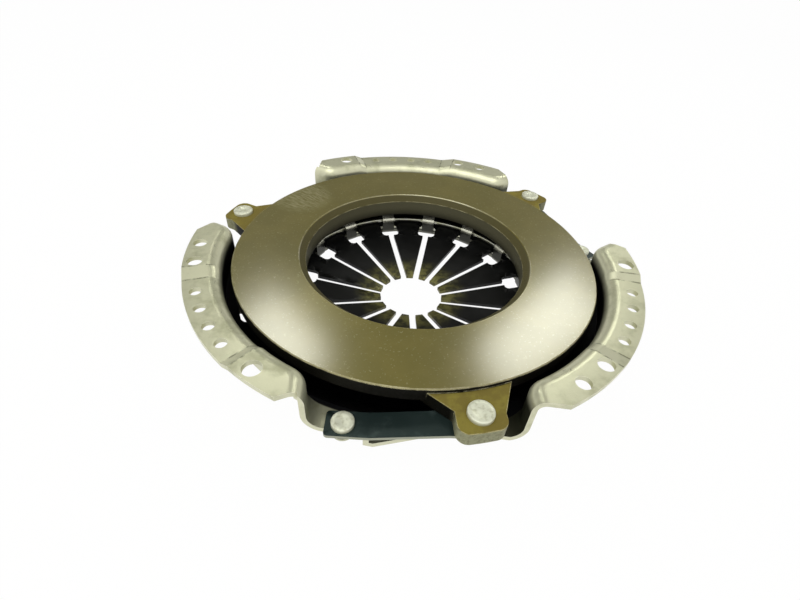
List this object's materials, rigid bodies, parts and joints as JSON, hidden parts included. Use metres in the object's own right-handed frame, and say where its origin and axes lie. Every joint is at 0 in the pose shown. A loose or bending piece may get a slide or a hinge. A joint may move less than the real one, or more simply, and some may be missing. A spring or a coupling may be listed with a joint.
{
  "type": "clutch pressure plate",
  "caption": "Diaphragm-spring clutch cover: pressed steel cover with bolt-on wings, a sliding cast-iron ring with a ground friction face, drive straps and rivets.",
  "frame": {"origin": "on the clutch axis, in the plane of the wing pads that bolt to the flywheel", "axes": "+Z along the clutch axis towards the flywheel; +Y through the middle of wing 1; -Y through strap pocket 1"},
  "size_m": [0.2812, 0.2773, 0.0456],
  "materials": {
    "cover_steel": "bare pressed sheet, satin, scuffed",
    "plate_iron": "ground face with an oil film",
    "spring_steel": "dark heat-treated, oiled",
    "strap_steel": "blued, satin",
    "wire_steel": "drawn, bright",
    "rivet_steel": "zinc bright"
  },
  "bodies": {
    "cover": {"cover": "cover_steel", "diaphragm_spring": "spring_steel", "fulcrum_wire_upper": "wire_steel", "fulcrum_wire_lower": "wire_steel", "strap_1_leaf_1": "strap_steel", "strap_1_leaf_2": "strap_steel", "strap_1_leaf_3": "strap_steel", "strap_2_leaf_1": "strap_steel", "strap_2_leaf_2": "strap_steel", "strap_2_leaf_3": "strap_steel", "strap_3_leaf_1": "strap_steel", "strap_3_leaf_2": "strap_steel", "strap_3_leaf_3": "strap_steel", "cover_rivet_1": "rivet_steel", "cover_rivet_2": "rivet_steel", "cover_rivet_3": "rivet_steel"},
    "pressure_plate": {"pressure_plate": "plate_iron", "plate_rivet_1": "rivet_steel", "plate_rivet_2": "rivet_steel", "plate_rivet_3": "rivet_steel"}
  },
  "joints": [
    {"name": "plate_slide", "type": "slide", "parent": "cover", "child": "pressure_plate", "axis": [0, 0, 1], "range_m": [-0.0043, 0], "stiffness_N_per_m": 20000, "springref_m": 0.005, "deforming": ["diaphragm_spring", "strap_1_leaf_1", "strap_1_leaf_2", "strap_1_leaf_3", "strap_2_leaf_1", "strap_2_leaf_2", "strap_2_leaf_3", "strap_3_leaf_1", "strap_3_leaf_2", "strap_3_leaf_3"]}
  ]
}
